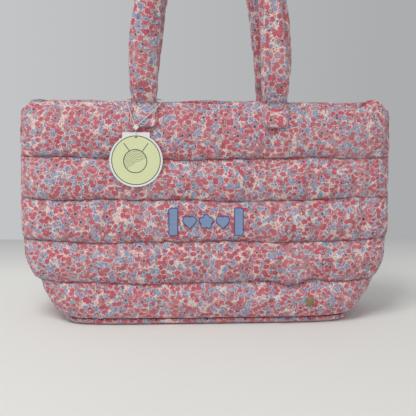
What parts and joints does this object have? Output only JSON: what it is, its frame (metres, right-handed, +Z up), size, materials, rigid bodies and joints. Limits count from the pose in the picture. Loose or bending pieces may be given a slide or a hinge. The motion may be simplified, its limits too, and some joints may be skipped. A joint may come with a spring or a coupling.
{
  "type": "quilted knitting bag",
  "caption": "Open padded fabric tote with a flat base, horizontally quilted walls, padded loop handles, a stitched motif and a round folded swing tag.",
  "frame": {"origin": "on the floor under the middle of the base", "axes": "+Z up, the decorated front faces -Y, +X to the right of someone facing the front"},
  "size_m": [0.4832, 0.122, 0.551],
  "materials": {
    "printed_cotton": "woven floral print, soft sheen",
    "wadding": "loose polyester wadding",
    "lining_cotton": "plain weave",
    "quilting_thread": "spun thread",
    "motif_thread": "satin stitching",
    "outline_thread": "satin stitching",
    "patch_leather": "matt tan",
    "tag_card": "uncoated card",
    "lock_plastic": "moulded, satin",
    "tag_thread": "twisted cotton string"
  },
  "bodies": {
    "base": {"base_panel": "printed_cotton", "base_wadding": "wadding", "base_lining": "lining_cotton"},
    "front_wall": {"front_panel": "printed_cotton", "front_wadding": "wadding", "front_lining": "lining_cotton", "front_rim_facing": "printed_cotton", "front_quilt_stitching": "quilting_thread", "front_left_tab": "printed_cotton", "front_right_tab": "printed_cotton", "front_tab_stitching": "quilting_thread", "motif_outline": "outline_thread", "motif_bars": "motif_thread", "motif_hearts": "motif_thread", "motif_flower": "motif_thread", "motif_stitches": "outline_thread", "label_patch": "patch_leather", "tag_string_lock": "lock_plastic", "tag_string": "tag_thread"},
    "back_wall": {"back_panel": "printed_cotton", "back_wadding": "wadding", "back_lining": "lining_cotton", "back_rim_facing": "printed_cotton", "back_quilt_stitching": "quilting_thread", "back_left_tab": "printed_cotton", "back_right_tab": "printed_cotton", "back_tab_stitching": "quilting_thread"},
    "front_handle": {"front_handle_cover": "printed_cotton", "front_handle_wadding": "wadding"},
    "back_handle": {"back_handle_cover": "printed_cotton", "back_handle_wadding": "wadding"},
    "swing_tag": {"tag_back_leaf": "tag_card", "tag_string_end": "tag_thread"},
    "tag_cover": {"tag_front_leaf": "tag_card"}
  },
  "joints": [
    {"name": "mouth_front", "type": "hinge", "parent": "base", "child": "front_wall", "pos_m": [0, -0.06, 0.007], "axis": [1, 0, 0], "range_deg": [0, 12]},
    {"name": "mouth_back", "type": "hinge", "parent": "base", "child": "back_wall", "pos_m": [0, 0.06, 0.007], "axis": [1, 0, 0], "range_deg": [-12, 0]},
    {"name": "front_handle_fold", "type": "hinge", "parent": "front_wall", "child": "front_handle", "pos_m": [0, -0.047, 0.2815], "axis": [-1, 0, 0], "range_deg": [-165, 3.5]},
    {"name": "back_handle_fold", "type": "hinge", "parent": "back_wall", "child": "back_handle", "pos_m": [0, 0.047, 0.2815], "axis": [1, 0, 0], "range_deg": [-165, 3.5]},
    {"name": "tag_swing", "type": "hinge", "parent": "front_wall", "child": "swing_tag", "pos_m": [-0.092, -0.03928, 0.24525], "axis": [-1, 0, 0], "range_deg": [0, 60]},
    {"name": "tag_open", "type": "hinge", "parent": "swing_tag", "child": "tag_cover", "pos_m": [-0.092, -0.03946, 0.2432], "axis": [-1, 0, 0], "range_deg": [0, 80], "deforming": ["tag_string_end"]}
  ],
  "couplings": [
    {"joint": "mouth_back", "follows": "mouth_front", "ratio": -1}
  ]
}
